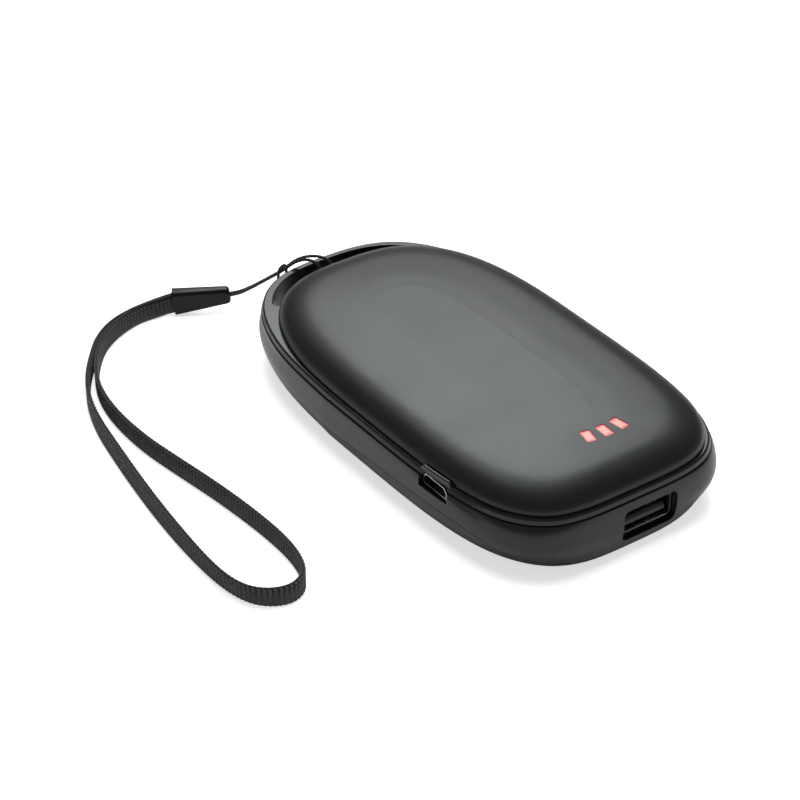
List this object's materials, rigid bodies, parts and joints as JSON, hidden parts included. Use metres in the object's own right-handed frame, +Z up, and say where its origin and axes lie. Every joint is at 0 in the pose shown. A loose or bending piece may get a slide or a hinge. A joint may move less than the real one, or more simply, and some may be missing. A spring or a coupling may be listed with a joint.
{
  "type": "rechargeable hand warmer",
  "caption": "Rounded rechargeable hand warmer with a low domed cover, rimmed frame, power outlet, charging inlet, red light windows, side button and a braided wrist strap.",
  "frame": {"origin": "on the table under the middle of the case, the case box bottom centre", "axes": "+X along the case towards the power outlet, +Y towards the long side with the button, +Z up through the domed cover"},
  "size_m": [0.1356, 0.1069, 0.0201],
  "materials": {
    "cover_coat": "matt black soft-touch coat on an aluminium shell",
    "base_coat": "matt black coat on an aluminium shell",
    "frame_plastic": "satin black moulded plastic",
    "window_lens": "clear diffusing acrylic, lit red",
    "shade_plastic": "matt black",
    "light_body": "clear resin over a red light",
    "button_plastic": "satin black moulded plastic",
    "switch_plastic": "moulded black",
    "stem_plastic": "moulded",
    "board_laminate": "solder-masked laminate",
    "screw_steel": "zinc-plated",
    "socket_steel": "nickel-plated sheet",
    "socket_insulator": "moulded grey",
    "inlet_insulator": "moulded black",
    "contact_gold": "gold flash",
    "chip_resin": "moulded black",
    "coil_ferrite": "pressed ferrite",
    "chip_ceramic": "fired ceramic",
    "cell_pouch": "laminated pouch",
    "tab_nickel": "bright",
    "guard_laminate": "solder-masked laminate",
    "lead_red": "soft insulation",
    "lead_black": "soft insulation",
    "lead_white": "soft insulation",
    "heater_film": "amber film with etched tracks",
    "pad_foam": "soft silicone foam",
    "sensor_resin": "dipped bead",
    "strap_braid": "braided polyester band",
    "clamp_plastic": "satin black",
    "string_nylon": "twisted nylon cord"
  },
  "bodies": {
    "case": {"top_cover": "cover_coat", "bottom_cover": "base_coat", "mid_frame": "frame_plastic", "light_guide": "window_lens", "light_shade": "shade_plastic", "status_lights": "light_body", "switch_body": "switch_plastic", "main_board": "board_laminate", "board_screws": "screw_steel", "output_socket_shell": "socket_steel", "output_socket_tongue": "socket_insulator", "output_socket_contacts": "contact_gold", "charge_inlet_shell": "socket_steel", "charge_inlet_tongue": "inlet_insulator", "charge_inlet_contacts": "contact_gold", "control_chip": "chip_resin", "power_chip": "chip_resin", "power_coil": "coil_ferrite", "chip_parts": "chip_ceramic", "battery_cell": "cell_pouch", "battery_tabs": "tab_nickel", "protection_board": "guard_laminate", "battery_lead_red": "lead_red", "battery_lead_black": "lead_black", "upper_heater_film": "heater_film", "lower_heater_film": "heater_film", "upper_heater_leads": "lead_white", "lower_heater_leads": "lead_white", "upper_pad": "pad_foam", "lower_pad": "pad_foam", "heat_sensor": "sensor_resin", "sensor_leads": "lead_white", "strap_band": "strap_braid", "strap_clamp": "clamp_plastic", "hang_string": "string_nylon"},
    "button": {"power_button": "button_plastic", "switch_stem": "stem_plastic"}
  },
  "joints": [
    {"name": "button_press", "type": "slide", "parent": "case", "child": "button", "axis": [0, -1, 0], "range_m": [0, 0.0005], "stiffness_N_per_m": 3000}
  ]
}
